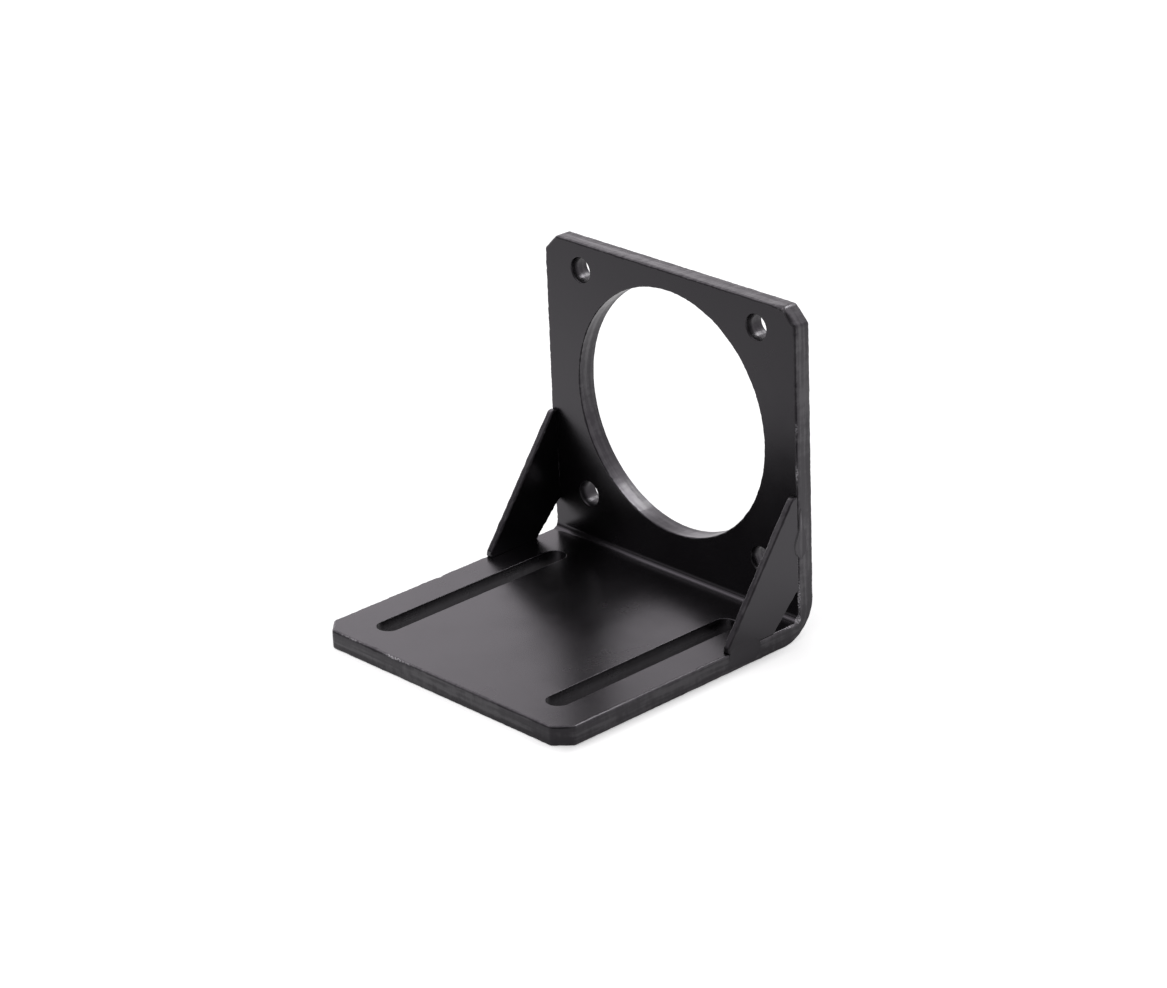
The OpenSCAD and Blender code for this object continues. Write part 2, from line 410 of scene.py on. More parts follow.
class Shell:
    """Collects the surfaces of one piece and joins them where they meet. Each point has its place,
    its normal and its place on the unfolded sheet with the masks that the coat reads."""

    def __init__(self, mirrored=False):
        self.mirrored = mirrored
        self.points = []
        self.normals = []
        self.notes = []
        self.faces = []
        self.count = 0

    def add(self, points, normals, notes, faces):
        self.points.append(points.reshape(-1, 3))
        self.normals.append(normals.reshape(-1, 3))
        self.notes.append(notes.reshape(-1, notes.shape[-1]))
        self.faces.append(faces + self.count)
        self.count += len(self.points[-1])

    def mesh(self, name):
        """The joined mesh, in metres: points that agree to a ten-thousandth of a millimetre are one
        point, and its normal is the mean of theirs."""
        points = np.concatenate(self.points)
        _, first, one = np.unique(np.round(points, 4), axis=0, return_index=True, return_inverse=True)
        one = one.reshape(-1)
        normals = np.zeros((len(first), 3))
        np.add.at(normals, one, np.concatenate(self.normals))
        normals = unit(normals)
        notes = np.concatenate(self.notes)[first]
        points = points[first]
        order = 1
        if self.mirrored:
            order = -1
            points = points * [-1, 1, 1]
            normals = normals * [-1, 1, 1]
        faces = []
        for block in self.faces:
            block = [list(dict.fromkeys(face)) for face in one[block][:, ::order].tolist()]
            faces += [face for face in block if len(face) > 2]
        mesh = bpy.data.meshes.new(name)
        mesh.from_pydata((points * MM).tolist(), [], faces)
        mesh.polygons.foreach_set("use_smooth", np.ones(len(mesh.polygons), bool))
        mesh.update()
        flat = mesh.attributes.new("sheet", "FLOAT_VECTOR", "POINT")
        flat.data.foreach_set("vector", np.ascontiguousarray(notes[:, :3] * MM, np.float32).ravel())
        for i, mask in enumerate(MASKS):
            layer = mesh.attributes.new(mask, "FLOAT", "POINT")
            layer.data.foreach_set("value", np.ascontiguousarray(notes[:, 3 + i], np.float32))
        mesh.normals_split_custom_set_from_vertices(normals.tolist())
        return mesh


def note(flat, depth, edge=0.0, wall=0.0, torn=0.0):
    """What each point carries for the coat: its place on the sheet and its masks."""
    return together(flat[..., 0], flat[..., 1], depth, edge, wall, torn).astype(float)


def add_rim(shell, rim, place, near_normal, far_normal):
    """Puts a rim on the shell. Its first and last line take the normals of the faces they meet."""
    points = place(rim.flat[..., 0], rim.flat[..., 1], rim.depth)
    normals = grid_normals(points, True)
    normals[:, 0] = near_normal(rim.flat[:, 0, 1])
    normals[:, -1] = far_normal(rim.flat[:, -1, 1])
    notes = note(rim.flat, rim.depth, rim.edge, rim.wall, rim.torn)
    shell.add(points, normals, notes, grid_faces(*points.shape[:2], True))


def add_face(shell, loops, triangles, depth, place, face_normal, turned):
    """Puts a flat face on the shell, from its loops on the sheet and their triangles."""
    flat = np.concatenate(loops)
    depth = np.broadcast_to(depth, len(flat))
    points = place(flat[:, 0], flat[:, 1], depth)
    if turned:
        triangles = triangles[:, ::-1]
    shell.add(points, face_normal(flat[:, 1]), note(flat, depth), triangles)


def finish_piece(mesh, coat, *nodes):
    """Makes the mesh a piece that rides on the bracket and stands for the CAD nodes."""
    piece = bpy.data.objects.new(mesh.name, mesh)
    bpy.context.scene.collection.objects.link(piece)
    mesh.materials.append(bpy.data.materials[coat])
    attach(piece, "root")
    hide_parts(*nodes)


# The bent plate


class Fold:
    """How the unfolded plate lies in the part's frame, in millimetres. On the sheet x runs across,
    s runs from the base's front (negative) over the bend to the top of the upright, and depth runs
    from the motor side to the outer side."""

    ROWS = 48
    COLUMNS = 24

    def __init__(self, sizes):
        self.t = sizes.thickness / MM
        self.outside = sizes.bend_outside / MM
        self.inside = sizes.bend_inside / MM
        self.back = sizes.depth / MM / 2
        self.flat = self.outside - self.t - self.inside
        self.inner_length = 2 * self.flat + self.inside * np.pi / 2
        self.half = (self.inner_length + self.outside * np.pi / 2) / 4
        self.rows = np.linspace(-self.half, self.half, self.ROWS + 1)

    def inner(self, s):
        """Point (y, z) and normal of the inner line: straight along the base's top, a straight of
        length flat, a quarter arc of the inside radius, a straight again, and up the motor face."""
        s = np.asarray(s, float)
        bend = np.clip((s + self.half) / (2 * self.half), 0, 1) * self.inner_length
        angle = np.clip((bend - self.flat) / self.inside, 0, np.pi / 2)
        before = np.minimum(bend, self.flat)
        after = np.maximum(bend - self.flat - self.inside * np.pi / 2, 0)
        y = self.back - self.outside + before + self.inside * np.sin(angle)
        z = self.t + self.inside * (1 - np.cos(angle)) + after
        y = y + np.minimum(s + self.half, 0)
        z = z + np.maximum(s - self.half, 0)
        return y, z, -np.sin(angle), np.cos(angle)

    def outer(self, s):
        """Point (y, z) and normal of the outer line: along the floor, a quarter arc, and up."""
        s = np.asarray(s, float)
        angle = np.clip((s + self.half) / (2 * self.half), 0, 1) * np.pi / 2
        y = self.back - self.outside + self.outside * np.sin(angle) + np.minimum(s + self.half, 0)
        z = self.outside * (1 - np.cos(angle)) + np.maximum(s - self.half, 0)
        return y, z, np.sin(angle), -np.cos(angle)

    def thickness(self, s):
        """The distance between the two lines, less than the plate's in the bend."""
        yi, zi = self.inner(s)[:2]
        yo, zo = self.outer(s)[:2]
        return np.hypot(yo - yi, zo - zi)

    def place(self, x, s, depth):
        """Sheet to part: inner + (outer - inner) depth / thickness, at the given x."""
        yi, zi = self.inner(s)[:2]
        yo, zo = self.outer(s)[:2]
        level = depth / np.hypot(yo - yi, zo - zi)
        return together(x, yi + (yo - yi) * level, zi + (zo - zi) * level)

    def inner_normal(self, s):
        return self.upright_vector(*self.inner(s)[2:])

    def outer_normal(self, s):
        return self.upright_vector(*self.outer(s)[2:])

    @staticmethod
    def upright_vector(y, z):
        """Vectors with the given y and z and no x."""
        return together(0.0, y, z)

    def up_to(self, z):
        """s of a height on the upright."""
        return self.half + z - self.outside

    def out_to(self, y):
        """s of a place along the base."""
        return y - (self.back - self.outside) - self.half


def plate_faces(shell, fold, outer, holes, slots, side, depth, normal):
    """One side of the plate, the motor side (0) or the outer side (-1): the upright, the bend and
    the base. The two flat parts are filled round their holes, and the bend is a grid whose points
    run straight from side to side."""
    loop = outer.flat[:, side]
    turned = side == -1

    def row_ends(s):
        on_row = np.abs(loop[:, 1] - s) < 1e-6
        right = np.flatnonzero(on_row & (loop[:, 0] > 0))[0]
        left = np.flatnonzero(on_row & (loop[:, 0] < 0))[0]
        return right, left

    ends = np.array([row_ends(s) for s in fold.rows])
    level = np.linspace(0, 1, fold.COLUMNS + 1)
    left_x = loop[ends[:, 1], 0][:, None]
    right_x = loop[ends[:, 0], 0][:, None]
    flat = together(left_x + (right_x - left_x) * level, fold.rows[:, None])
    deep = np.broadcast_to(depth(flat[..., 1]), flat.shape[:2])
    points = fold.place(flat[..., 0], flat[..., 1], deep)
    quads = grid_faces(*points.shape[:2], False)
    if turned:
        quads = quads[:, ::-1]
    shell.add(points, normal(flat[..., 1]), note(flat, deep), quads)

    count = len(loop)
    upper = loop[np.arange(ends[-1, 0], ends[-1, 1] + 1)]
    lower = loop[np.arange(ends[0, 1], ends[0, 0] + count + 1) % count]
    for part, row, openings in ((upper, flat[-1, 1:-1], holes), (lower, flat[0, -2:0:-1], slots)):
        loops = [np.concatenate([part, row])] + [rim.flat[:, side] for rim in openings]
        add_face(shell, loops, fill(loops), depth(loops[0][:1, 1]), fold.place, normal, turned)


def plate_rim(sizes, fold):
    """The plate's outer rim: a rectangle on the sheet with clipped corners, with the burrs and the
    painted glints, painted highlights, of its motor side. Each burr or glint is (place, width, gain) in
    millimetres."""
    half_width = sizes.width / MM / 2
    cut = sizes.corner_cut / MM
    top = fold.up_to(sizes.height / MM)
    front = fold.out_to(-fold.back)
    corners = [(half_width, front + cut), (half_width, top - cut),
               (half_width - cut, top), (cut - half_width, top),
               (-half_width, top - cut), (-half_width, front + cut),
               (cut - half_width, front), (half_width - cut, front)]
    burrs = [((44.2, top), 1.2, 0.75), ((47.3, top - 2.3), 1.6, 0.45),
             ((half_width, top - 6), 1.8, 0.35), ((half_width, 0.4), 3.0, 0.55),
             ((-16.9, front), 0.9, 0.4), ((-26.0, front), 2.2, 0.3),
             ((-half_width, fold.out_to(-4.3)), 1.0, 0.5)]
    # Painted highlights: glints along the right edge, at the bend and along the front edge.
    side_glints = ((fold.up_to(13.5), 4.0, 1.9), (fold.up_to(51.0), 3.0, 1.0),
                  (fold.up_to(63.5), 2.0, 0.7), (0.2, 1.1, 4.0), (fold.out_to(39.5), 2.2, 1.6))
    front_glints = ((-37.0, 5.0, 0.8), (-19.0, 3.2, 1.8), (-12.5, 2.5, 0.7))
    painted_glints = [((half_width, s), width, gain) for s, width, gain in side_glints]
    painted_glints += [((x, front), width, gain) for x, width, gain in front_glints]
    radius = sizes.edge_round / MM
    edge = outline(corners, sizes.corner_blend / MM, OUTLINE_STEP, fold.rows)
    return Rim(*edge, fold.thickness, near=1.2 * radius, far=radius, seed=11, waver=0.12,
               nicks=burrs, painted_glints=painted_glints)


def hole_rims(sizes, fold):
    """Rims of the round motor hole and of the four bolt holes, which stand in a square round it."""
    radius = sizes.edge_round / MM
    axis = fold.up_to(sizes.axis_height / MM)
    reach = sizes.bolt_pitch / MM / 2
    pilot = ring((0, axis), sizes.pilot_radius / MM, LARGE_HOLE_STEP)
    rims = [Rim(*pilot, fold.thickness, near=0.6 * radius, far=0.15, seed=21, tear=0.03, waver=0.25)]
    for i, (sx, sz) in enumerate([(-1, -1), (1, -1), (1, 1), (-1, 1)]):
        bolt = ring((sx * reach, axis + sz * reach), sizes.bolt_radius / MM, SMALL_STEP)
        rims.append(Rim(*bolt, fold.thickness, near=0.85 * radius, far=0.12, seed=31 + 10 * i,
                        tear=0.02, waver=0.05, sink=4.5))
    return rims


def slot_rims(sizes, fold):
    """Rims of the two slots: rectangles on the sheet, their corners rounded by the half width."""
    radius = sizes.edge_round / MM
    half_width = sizes.slot_radius / MM
    reach = sizes.slot_length / MM / 2
    middle = fold.out_to(sizes.slot_middle / MM)
    rims = []
    for i, sx in enumerate((-1, 1)):
        x = sx * sizes.slot_pitch / MM / 2
        box = [(x - half_width, middle - reach), (x - half_width, middle + reach),
               (x + half_width, middle + reach), (x + half_width, middle - reach)]
        slot = outline(box, half_width, LARGE_HOLE_STEP, hole=True)
        rims.append(Rim(*slot, fold.thickness, near=0.3 * radius, far=radius, seed=81 + 10 * i,
                        grain=0.25))
    return rims


def bent_plate_mesh(sizes):
    """The plate: its outline and each hole get a rim, and each side gets its faces."""
    fold = Fold(sizes)
    outer = plate_rim(sizes, fold)
    holes = hole_rims(sizes, fold)
    slots = slot_rims(sizes, fold)
    shell = Shell()
    for rim in [outer] + holes + slots:
        add_rim(shell, rim, fold.place, fold.inner_normal, fold.outer_normal)
    for side, depth, normal in ((0, np.zeros_like, fold.inner_normal),
                                (-1, fold.thickness, fold.outer_normal)):
        plate_faces(shell, fold, outer, holes, slots, side, depth, normal)
    return shell.mesh("bent_plate_finish")


# The gussets


def free_of_plate(points, normals):
    """1 along the gusset's free edges and 0.3 where it stands on the plate: one less 0.7 times the
    bell exp(-(distance / 0.6)^2), where the distance is what lies past the first 0.3 mm of the way
    round the outline to a side facing back or down."""
    run, loop = running_length(points)
    standing = (normals[:, 0] < -0.99) | (normals[:, 1] < -0.99)
    gap = np.abs(run[:, None] - run[None, standing])
    gap = np.minimum(gap, loop - gap).min(1)
    return 1 - 0.7 * np.exp(-(np.maximum(gap - 0.3, 0) / 0.6) ** 2)


def gusset_mesh(name, plate, sizes, mirrored):
    """A gusset: a flat sheet between its inner and its outer side face. On the sheet the first
    coordinate runs forward from the outer face of the upright and the second runs up. Half way up
    its rear edge a painted highlight lightens the coat."""
    back = plate.depth / MM / 2
    side = plate.width / MM / 2
    thick = sizes.thickness / MM
    t = plate.thickness / MM
    run = sizes.run / MM
    rise = sizes.rise / MM
    blunt = sizes.blunt / MM
    relief = sizes.relief / MM
    corners = [(t + relief, t), (t + run, t), (t + run, t + blunt),
               (t + blunt, t + rise), (t, t + rise), (t, t + relief)]
    sharp, toe, nose = 0.3, 0.9, 1.4
    points, normals = outline(corners, [sharp, sharp, toe, nose, sharp, sharp], SMALL_STEP)
    round_off = sizes.edge_round / MM * free_of_plate(points, normals)
    # A painted highlight half way up the rear edge.
    seam_glint = [((t, t + rise / 2), 4.0, 3.0)]
    rim = Rim(points, normals, lambda s: np.full_like(s, thick), near=round_off, far=round_off,
              seed=121 + mirrored, tear=0.03, waver=0.22, painted_glints=seam_glint)

    def place(forward, up, depth):
        return together(side - thick + depth, back - forward, up)

    def facing(sign):
        return lambda s: together(np.full_like(s, sign), 0.0, 0.0)

    shell = Shell(mirrored)
    add_rim(shell, rim, place, facing(-1.0), facing(1.0))
    for column, depth, sign in ((0, 0.0, -1.0), (-1, thick, 1.0)):
        loops = [rim.flat[:, column]]
        add_face(shell, loops, fill(loops), depth, place, facing(sign), sign > 0)
    return shell.mesh(name)


# The weld beads

BEAD_ROWS = 90


def bead_mesh(name, side, spine, half_width, height, seed, mirrored, bright=lambda c: 0.0 * c):
    """A weld bead on a side face at x = side. Its spine is a line of (y, z) points and c runs across
    it from -1 to 1. The crown stands height (1 - |c|^2.4)^0.8 over the side, with low ridges
    cos(3 pi c) that follow its outline and a slow drift. The root is the same outline sunk into the
    seam. The crown is shaded as the weld pool's shrunk skin, by the normals of the same shape drawn
    in, and bright(c) says where a painted highlight lightens its coat."""
    random = np.random.default_rng(seed)
    edge_x = side - 0.05
    root_depth = 0.7
    columns = 33
    c = np.sin(np.linspace(-np.pi / 2, np.pi / 2, columns))
    way = np.gradient(spine, axis=0)
    way /= np.hypot(way[:, 0], way[:, 1])[:, None]
    across = np.stack([-way[:, 1], way[:, 0]], 1)
    flat = spine[:, None] + across[:, None] * (c[None, :, None] * half_width[:, None, None])
    bulge = np.clip(1 - np.abs(c) ** 2.4, 0, 1) ** 0.8
    ridges = 0.5 + 0.5 * np.cos(3 * np.pi * c)
    slow, fast, waves = 0.3, 1.3, 5
    drift = sum(np.sin(random.uniform(slow, fast) * flat[..., 0] + random.uniform(slow, fast) * flat[..., 1]
                       + random.uniform(0, 6.28)) for _ in range(waves)) / waves
    lift = height[:, None] * bulge * (0.84 + 0.10 * ridges + 0.06 * drift)
    crown = np.concatenate([(edge_x + lift)[..., None], flat], -1)
    sunk = np.broadcast_to(edge_x - root_depth * bulge, flat.shape[:2])
    root = np.concatenate([sunk[..., None], flat], -1)
    quads = grid_faces(len(spine), columns, False)
    level = np.zeros(flat.shape[:2])
    shell = Shell(mirrored)
    drawn_in = grid_normals(crown, False) * [-1.0, 0.4, 0.4]
    # The crown's edge mask is bright(c), a painted highlight.
    shell.add(crown, drawn_in, note(flat, level, bright(c)), quads[:, ::-1])
    shell.add(root, np.broadcast_to([-0.01, 0, 0], root.shape), note(flat, level), quads)
    return shell.mesh(name)


def crown_height(height, width, full_width):
    """Height along a bead: it falls towards the ends as the root of 1.2 width / full width."""
    return height * np.sqrt(np.clip(1.2 * width / full_width, 0, 1))


def bead_outline(centres, radius):
    """Half width of a bead along its length: the upper envelope of its puddles' circles,
    sqrt(radius^2 - distance^2), blended by an eighth-power mean. Returns the places and widths."""
    low = centres[0] - radius
    high = centres[-1] + radius
    v = (low + high) / 2 - (high - low) / 2 * np.cos(np.linspace(0, np.pi, BEAD_ROWS))
    circles = np.sqrt(np.maximum(radius ** 2 - (v[:, None] - centres) ** 2, 0))
    return v, (circles ** 8).sum(1) ** 0.125


def upright_bead(name, plate, sizes, mirrored):
    """The bead up the seam of the upright, a drop: with t from foot to tip, its half width is a
    quarter round up to the belly, shrinks smoothly to the neck and closes at the tip. A painted
    highlight lightens its coat in bells over c: at the bead's rear rim and middle low down, and near
    its middle high up."""
    low = WELD_LOW / MM
    high = WELD_HIGH / MM
    belly = 0.4 * (high.y - low.y)
    belly_t, neck_t, tip_length = 0.27, 0.70, 0.15
    foot_gap, tip_gap = 0.5, 1.1
    behind, lean = 0.55, 0.2
    t = 0.5 - 0.5 * np.cos(np.linspace(0, np.pi, BEAD_ROWS))
    v = low.z + foot_gap + (high.z - low.z - foot_gap - tip_gap) * t
    foot = np.sqrt(1 - np.clip(1 - t / belly_t, 0, 1) ** 2)
    draw = smooth((t - belly_t) / (neck_t - belly_t))
    tip = np.sqrt(np.clip((1 - t) / tip_length, 0, 1))
    width = belly * foot * (1 - (1 - sizes.neck) * draw) * tip
    y = (low.y + high.y) / 2 + behind + lean * draw
    height = crown_height(sizes.height / MM, width, belly)
    low_part = np.exp(-((t - 0.28) / 0.22) ** 2)[:, None]
    high_part = np.exp(-((t - 0.72) / 0.16) ** 2)[:, None]

    # Painted highlight: where the bead's coat is lightened.
    def bright(c):
        rim = np.exp(-((c + 0.86) / 0.13) ** 2) + 0.45 * np.exp(-((c - 0.15) / 0.16) ** 2)
        return low_part * rim + high_part * np.exp(-((c - 0.1) / 0.4) ** 2)

    return bead_mesh(name, plate.width / MM / 2, np.stack([y, v], 1), width, height, 5, mirrored, bright)


def base_bead(name, plate, sizes, mirrored):
    """The bead along the seam of the base: puddles of one size, smeared to 0.4 of the height."""
    low = BASE_WELD_LOW / MM
    high = BASE_WELD_HIGH / MM
    radius = (high.z - low.z) / 2
    count = round((high.y - low.y - 2 * radius) / (sizes.pitch / MM)) + 1
    centres = np.linspace(low.y + radius, high.y - radius, count)
    v, width = bead_outline(centres, radius)
    width = np.minimum(width, radius) * 0.98
    z = np.full_like(v, (low.z + high.z) / 2)
    height = crown_height(0.4 * sizes.height / MM, width, radius)
    return bead_mesh(name, plate.width / MM / 2, np.stack([v, z], 1), width, height, 9, mirrored)


# Shader node groups that the coats share


class Nodes:
    """Short ways to add nodes to an emptied tree. What feeds an input is a number, a colour, a vector
    or the socket of another node."""

    def __init__(self, tree):
        self.tree = tree
        tree.nodes.clear()

    def add(self, kind, inputs=(), **settings):
        """A node with its settings, and then its inputs as a dict of names or numbers to values."""
        node = self.tree.nodes.new(kind)
        for key, value in settings.items():
            setattr(node, key, value)
        for socket, value in dict(inputs).items():
            self.feed(node.inputs[socket], value)
        return node

    def feed(self, socket, value):
        if isinstance(value, bpy.types.NodeSocket):
            self.tree.links.new(value, socket)
        else:
            socket.default_value = value

    def math(self, operation, a, b=0.0, clamp=False):
        return self.add("ShaderNodeMath", {0: a, 1: b}, operation=operation, use_clamp=clamp).outputs[0]

    def times(self, a, b):
        return self.math("MULTIPLY", a, b)

    def plus(self, a, b, clamp=False):
        return self.math("ADD", a, b, clamp)

    def minus(self, a, b):
        return self.math("SUBTRACT", a, b)

    def most(self, a, b):
        return self.math("MAXIMUM", a, b)

    def off(self, value, mask, part=1.0):
        """The value less its part where the mask is 1."""
        return self.times(value, self.minus(1.0, self.times(mask, part)))

    def total(self, start, *parts):
        """start plus value times weight for each (value, weight) of the parts."""
        for value, weight in parts:
            start = self.plus(start, self.times(value, weight))
        return start

    def mix(self, kind, factor, a, b):
        """From a to b by a factor, as numbers ("FLOAT") or colours ("RGBA")."""
        inputs = {"Factor": factor, "A": a, "B": b}
        return self.add("ShaderNodeMix", inputs, data_type=kind).outputs["Result"]

    def noise(self, vector, per_metre, detail, roughness):
        inputs = {"Vector": vector, "Scale": per_metre, "Detail": detail, "Roughness": roughness}
        return self.add("ShaderNodeTexNoise", inputs).outputs["Fac"]

    def spread(self, value, low, high, to_low=0.0, to_high=1.0):
        """A smooth step from to_low at low to to_high at high, held beyond them."""
        inputs = {"Value": value, "From Min": low, "From Max": high, "To Min": to_low, "To Max": to_high}
        return self.add("ShaderNodeMapRange", inputs, interpolation_type="SMOOTHSTEP").outputs["Result"]

    def stretch(self, vector, scale):
        return self.add("ShaderNodeMapping", {"Vector": vector, "Scale": scale}).outputs["Vector"]

    def bump(self, height, distance, **inputs):
        inputs = {"Strength": 1, "Distance": distance, "Height": height, **inputs}
        return self.add("ShaderNodeBump", inputs).outputs["Normal"]

    def dot(self, vector, way):
        return self.add("ShaderNodeVectorMath", {0: vector, 1: way}, operation="DOT_PRODUCT").outputs["Value"]

    def coordinates(self, kind):
        """Texture coordinates of a kind, and their x, y and z."""
        vector = self.add("ShaderNodeTexCoord").outputs[kind]
        return vector, *self.add("ShaderNodeSeparateXYZ", {0: vector}).outputs

    def attribute(self, name, output="Fac"):
        return self.add("ShaderNodeAttribute", attribute_name=name).outputs[output]

    def group(self, name, **inputs):
        return self.add("ShaderNodeGroup", inputs, node_tree=bpy.data.node_groups[name]).outputs

    def rays(self):
        """Two masks: rays straight from the camera or through glass, and rays that are reflections."""
        path = self.add("ShaderNodeLightPath").outputs
        return self.most(path["Is Camera Ray"], path["Is Transmission Ray"]), path["Is Glossy Ray"]


def new_group(name, vector, masks, results):
    """An empty node group that takes one vector and some masks and puts out numbers."""
    tree = bpy.data.node_groups.new(name, "ShaderNodeTree")
    sockets = [(vector, "INPUT", "NodeSocketVector")]
    sockets += [(label, "INPUT", "NodeSocketFloat") for label in masks]
    sockets += [(label, "OUTPUT", "NodeSocketFloat") for label in results]
    for label, side, kind in sockets:
        tree.interface.new_socket(label, in_out=side, socket_type=kind)
    nodes = Nodes(tree)
    return nodes, nodes.add("NodeGroupInput").outputs, nodes.add("NodeGroupOutput").inputs


def coat_skin_group():
    """Skin of the sprayed coat: fine orange peel and soft swells as a height, a slow mottle in its
    gloss, and a few specks of dust caught in it."""
    nodes, given, out = new_group("coat_skin", "Place", (), ("Height", "Mottle", "Specks"))
    place = given["Place"]
    peel = nodes.noise(place, 1500, 1.5, 0.45)
    swell = nodes.noise(place, 160, 2.0, 0.5)
    mottle = nodes.noise(place, 55, 4.0, 0.6)
    dust = nodes.add("ShaderNodeTexVoronoi", {"Vector": place, "Scale": 130}, feature="F1").outputs
    near = nodes.spread(dust["Distance"], 0.045, 0.02)
    pick = nodes.add("ShaderNodeSeparateColor", {0: dust["Color"]}).outputs[0]
    specks = nodes.times(near, nodes.spread(pick, 0.84, 0.88))
    height = nodes.total(nodes.times(peel, 0.35), (swell, 0.65), (specks, 0.8))
    nodes.feed(out["Height"], height)
    nodes.feed(out["Mottle"], nodes.spread(mottle, 0.3, 0.7))
    nodes.feed(out["Specks"], specks)


def cut_marks_group():
    """Marks of the shear on a cut edge: lines straight through the sheet, drag lines that follow the
    edge, the grainy tear, and glossier streaks made of short bars and the drag lines. The sheet's
    own coordinates carry them round every corner."""
    nodes, given, out = new_group("cut_marks", "Sheet", ("Wall", "Torn"), ("Height", "Streaks"))
    sheet = given["Sheet"]
    through = nodes.noise(nodes.stretch(sheet, (1, 1, 0.12)), 1300, 2.0, 0.6)
    along = nodes.noise(nodes.stretch(sheet, (0.04, 0.04, 1)), 900, 2.0, 0.6)
    grain = nodes.noise(sheet, 2200, 3.0, 0.7)
    bars = nodes.noise(nodes.stretch(sheet, (1, 1, 0.3)), 380, 4.0, 0.7)
    clean = nodes.plus(nodes.times(through, 0.40), along)
    rough = nodes.plus(nodes.times(grain, 0.8), nodes.times(through, 0.6))
    height = nodes.mix("FLOAT", given["Torn"], clean, rough)
    tone = nodes.plus(nodes.times(bars, 0.4), nodes.times(along, 0.6))
    nodes.feed(out["Height"], nodes.times(height, given["Wall"]))
    nodes.feed(out["Streaks"], nodes.times(nodes.spread(tone, 0.45, 0.57), given["Wall"]))


def edge_wear_and_glint_group():
    """Coat rubbed down on the rounded edges as wear: the edge mask broken up by two sizes of noise.
    Where the mask is over 1 a painted highlight, a glint, lights up the edge, and only the finest
    noise breaks it up."""
    nodes, given, out = new_group("edge_rub", "Place", ("Edge",), ("Rub",))
    place, edge = given["Place"], given["Edge"]
    patches = nodes.spread(nodes.noise(place, 90, 3.0, 0.6), 0.56, 0.72)
    crumbs = nodes.spread(nodes.noise(place, 900, 2.0, 0.6), 0.50, 0.66)
    fine = nodes.spread(nodes.noise(place, 2300, 2.0, 0.6), 0.46, 0.60, 0.12, 1.0)
    rubbed = nodes.times(nodes.times(patches, crumbs), nodes.math("MINIMUM", edge, 1.0))
    # Painted highlight: a glint where the edge mask is over 1.
    painted_glint = nodes.times(fine, nodes.most(nodes.minus(edge, 1.0), 0.0))
    nodes.feed(out["Rub"], nodes.plus(nodes.times(rubbed, 0.5), painted_glint, clamp=True))


def black_coat(name, look, roughness, peel_depth, thin=0.0):
    """Satin black coat over cut steel: the skin's peel, peel_depth mm deep, and the cut marks bend
    the gloss, cut walls and torn zones are rougher, the streaks of the cut carry a clearer gloss, and
    the rounded edges are rubbed a little, with painted highlights (glints) where the edge mask is
    over 1. The last argument is how much rubbed coat the edge mask adds alone, which on the weld
    beads is a painted highlight."""
    material = bpy.data.materials.new(name)
    material.use_nodes = True
    nodes = Nodes(material.node_tree)
    place = nodes.add("ShaderNodeTexCoord").outputs["Object"]
    sheet = nodes.attribute("sheet", "Vector")
    edge, wall, torn = (nodes.attribute(mask) for mask in MASKS)
    skin = nodes.group("coat_skin", Place=place)
    marks = nodes.group("cut_marks", Sheet=sheet, Wall=wall, Torn=torn)
    wear_and_glint = nodes.group("edge_rub", Place=place, Edge=edge)["Rub"]
    streaks = marks["Streaks"]
    # The rubbed colour serves the worn edges, the dust specks and the painted highlights (glints and the
    # welds' highlight).
    rubbed = (*look.rubbed, 1)
    wear_and_glint_share, streak_share, dust_share = 0.9, 0.035, 0.2
    mottle_rough, torn_rough, streak_rough = 0.06, 0.14, 0.05
    streak_gloss, gloss_roughness = 0.4, 0.12

    # Wear, cut streaks and painted highlights all mix in the rubbed colour.
    marks_and_highlights = nodes.total(nodes.times(wear_and_glint, wear_and_glint_share), (streaks, streak_share), (edge, thin))
    tone = nodes.mix("RGBA", marks_and_highlights, (*look.colour, 1), rubbed)
    rough = nodes.total(roughness, (skin["Mottle"], mottle_rough),
                        (wall, look.cut_roughness - roughness), (nodes.times(torn, wall), torn_rough))
    skin_normal = nodes.bump(skin["Height"], peel_depth * MM)
    shader = nodes.add("ShaderNodeBsdfPrincipled", {
        "Base Color": nodes.mix("RGBA", nodes.times(skin["Specks"], dust_share), tone, rubbed),
        "Roughness": nodes.plus(rough, nodes.times(streaks, streak_rough), clamp=True),
        "Normal": nodes.bump(marks["Height"], look.cut_depth, Normal=skin_normal),
        "IOR": look.reflection,
        "Specular Tint": (*look.tint, 1),
        "Coat Weight": nodes.times(streaks, streak_gloss),
        "Coat Roughness": gloss_roughness,
    })
    nodes.add("ShaderNodeOutputMaterial", {"Surface": shader.outputs["BSDF"]})


# The studio


